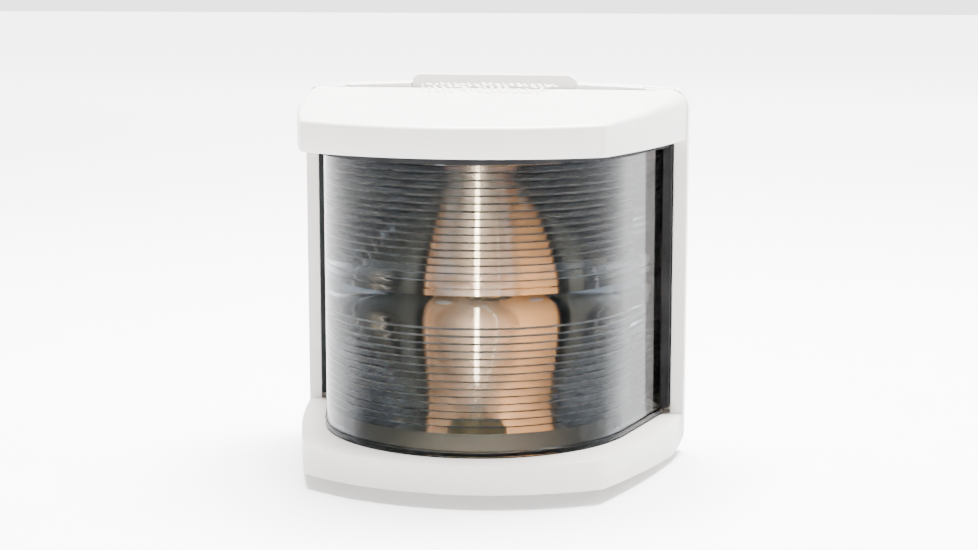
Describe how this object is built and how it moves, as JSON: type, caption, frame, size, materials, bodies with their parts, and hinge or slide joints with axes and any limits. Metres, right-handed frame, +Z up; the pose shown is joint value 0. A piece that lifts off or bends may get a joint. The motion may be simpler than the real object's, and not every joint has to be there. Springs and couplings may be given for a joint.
{
  "type": "boat navigation light",
  "caption": "White moulded boat navigation light with a ribbed clear lens, lift-off domed cap, sprung catch and a bayonet bulb on a wall plate.",
  "frame": {"origin": "middle of the flat mounting face, on the centre line, at the height of the light centre, which is also midway between the two wall screw holes", "axes": "+Z up, +Y into the wall, -Y out of the lens, +X to the right seen from the front"},
  "size_m": [0.1104, 0.0735, 0.1074],
  "materials": {
    "white_plastic": "moulded, satin",
    "black_plastic": "satin black",
    "shield_aluminium": "bright rolled",
    "steel_screws": "plain",
    "seal_rubber": "matt",
    "holder_plastic": "moulded",
    "brass": "plain",
    "fibre_board": "pressed fibre",
    "spring_steel": "drawn wire",
    "lead_sleeve": "soft sleeve",
    "catch_plastic": "satin",
    "lens_clear": "clear, ribbed inside",
    "bulb_brass": "bright",
    "bulb_cement": "black glass",
    "solder": "solder",
    "bulb_glass": "thin clear",
    "filament_wire": "drawn tungsten",
    "post_wire": "drawn nickel"
  },
  "bodies": {
    "base": {"base_housing": "white_plastic", "light_screen": "black_plastic", "heat_shield": "shield_aluminium", "screen_screws": "steel_screws", "bottom_seal": "seal_rubber", "cable_grommet": "seal_rubber", "lamp_holder": "holder_plastic", "socket_sleeve": "brass", "holder_screws": "steel_screws", "terminals": "brass", "terminal_screws": "steel_screws", "contact_spring": "spring_steel", "flex_leads": "lead_sleeve", "catch_pin": "steel_screws", "catch_spring": "spring_steel"},
    "catch": {"release_catch": "catch_plastic"},
    "cover": {"top_cap": "white_plastic", "lens": "lens_clear", "top_seal": "seal_rubber", "side_seals": "seal_rubber", "lens_screws": "steel_screws"},
    "contact_carrier": {"contact_disc": "fibre_board", "contact_rivets": "brass"},
    "bulb": {"bulb_base": "bulb_brass", "bulb_pins": "bulb_brass", "bulb_insulator": "bulb_cement", "bulb_contacts": "solder", "bulb_glass": "bulb_glass", "bulb_stem": "bulb_glass", "filament": "filament_wire", "filament_posts": "post_wire"}
  },
  "joints": [
    {"name": "cover_lift", "type": "slide", "parent": "base", "child": "cover", "axis": [0, 0, 1], "range_m": [0, 0.09]},
    {"name": "catch_press", "type": "hinge", "parent": "base", "child": "catch", "pos_m": [0, -0.0032, 0.039], "axis": [-1, 0, 0], "range_deg": [0, 3], "stiffness_Nm_per_rad": 0.3, "springref_deg": -2.86, "deforming": ["catch_spring"]},
    {"name": "bulb_push", "type": "slide", "parent": "base", "child": "contact_carrier", "axis": [0, 0, -1], "range_m": [0, 0.0015], "stiffness_N_per_m": 1500, "springref_m": -0.002, "deforming": ["contact_spring", "flex_leads"]},
    {"name": "bulb_twist", "type": "hinge", "parent": "contact_carrier", "child": "bulb", "pos_m": [0, -0.028, 0], "axis": [0, 0, 1], "range_deg": [0, 20]}
  ]
}
